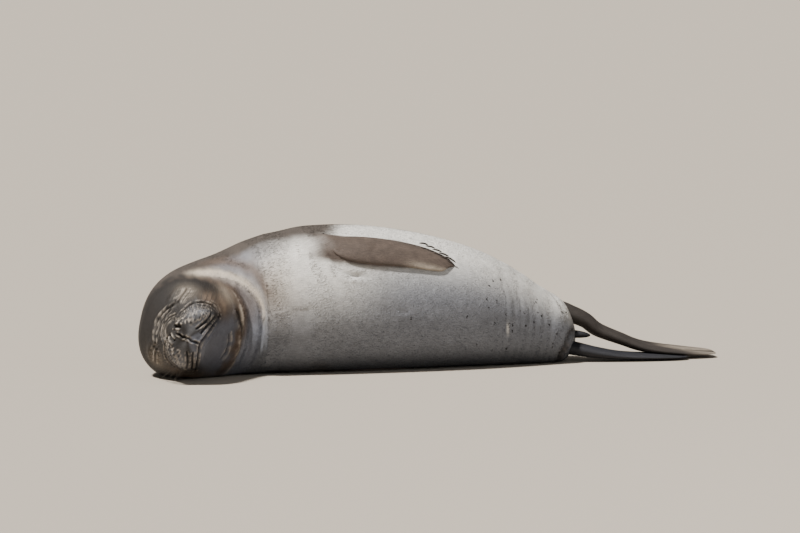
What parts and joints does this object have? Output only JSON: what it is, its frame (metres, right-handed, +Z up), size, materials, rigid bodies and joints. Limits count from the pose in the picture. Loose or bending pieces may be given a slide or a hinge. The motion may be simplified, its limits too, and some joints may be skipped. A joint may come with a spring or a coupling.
{
  "type": "southern elephant seal pup, newly weaned, asleep on its side (still model)",
  "caption": "Life-size still model of a newly weaned southern elephant seal pup asleep on its right side, head turned, one fore flipper laid along the flank.",
  "frame": {"origin": "on the floor, at the middle of the flat that the trunk rests on", "axes": "+Z up with the animal's left side up, +X from the head towards the tail along the trunk, -Y the belly side"},
  "size_m": [1.7319, 0.5707, 0.4161],
  "materials": {
    "silver_coat": "short silver-grey fur, soft sheen",
    "grey_coat": "short brown-grey fur",
    "dark_coat": "short charcoal-brown fur and bare dark skin",
    "horn": "dark horn, half gloss"
  },
  "bodies": {
    "root": {"head": "dark_coat", "neck": "grey_coat", "chest": "silver_coat", "belly": "silver_coat", "hips": "silver_coat", "eyelid_upper_left": "dark_coat", "eyelid_lower_left": "dark_coat", "eyelid_upper_right": "dark_coat", "eyelid_lower_right": "dark_coat", "fore_flipper_left": "grey_coat", "fore_flipper_right": "grey_coat", "claw_left_1": "horn", "claw_left_2": "horn", "claw_left_3": "horn", "claw_left_4": "horn", "claw_left_5": "horn", "claw_right_1": "horn", "claw_right_2": "horn", "claw_right_3": "horn", "claw_right_4": "horn", "claw_right_5": "horn", "hind_flipper_left": "dark_coat", "hind_flipper_right": "dark_coat", "tail": "grey_coat"}
  },
  "joints": []
}
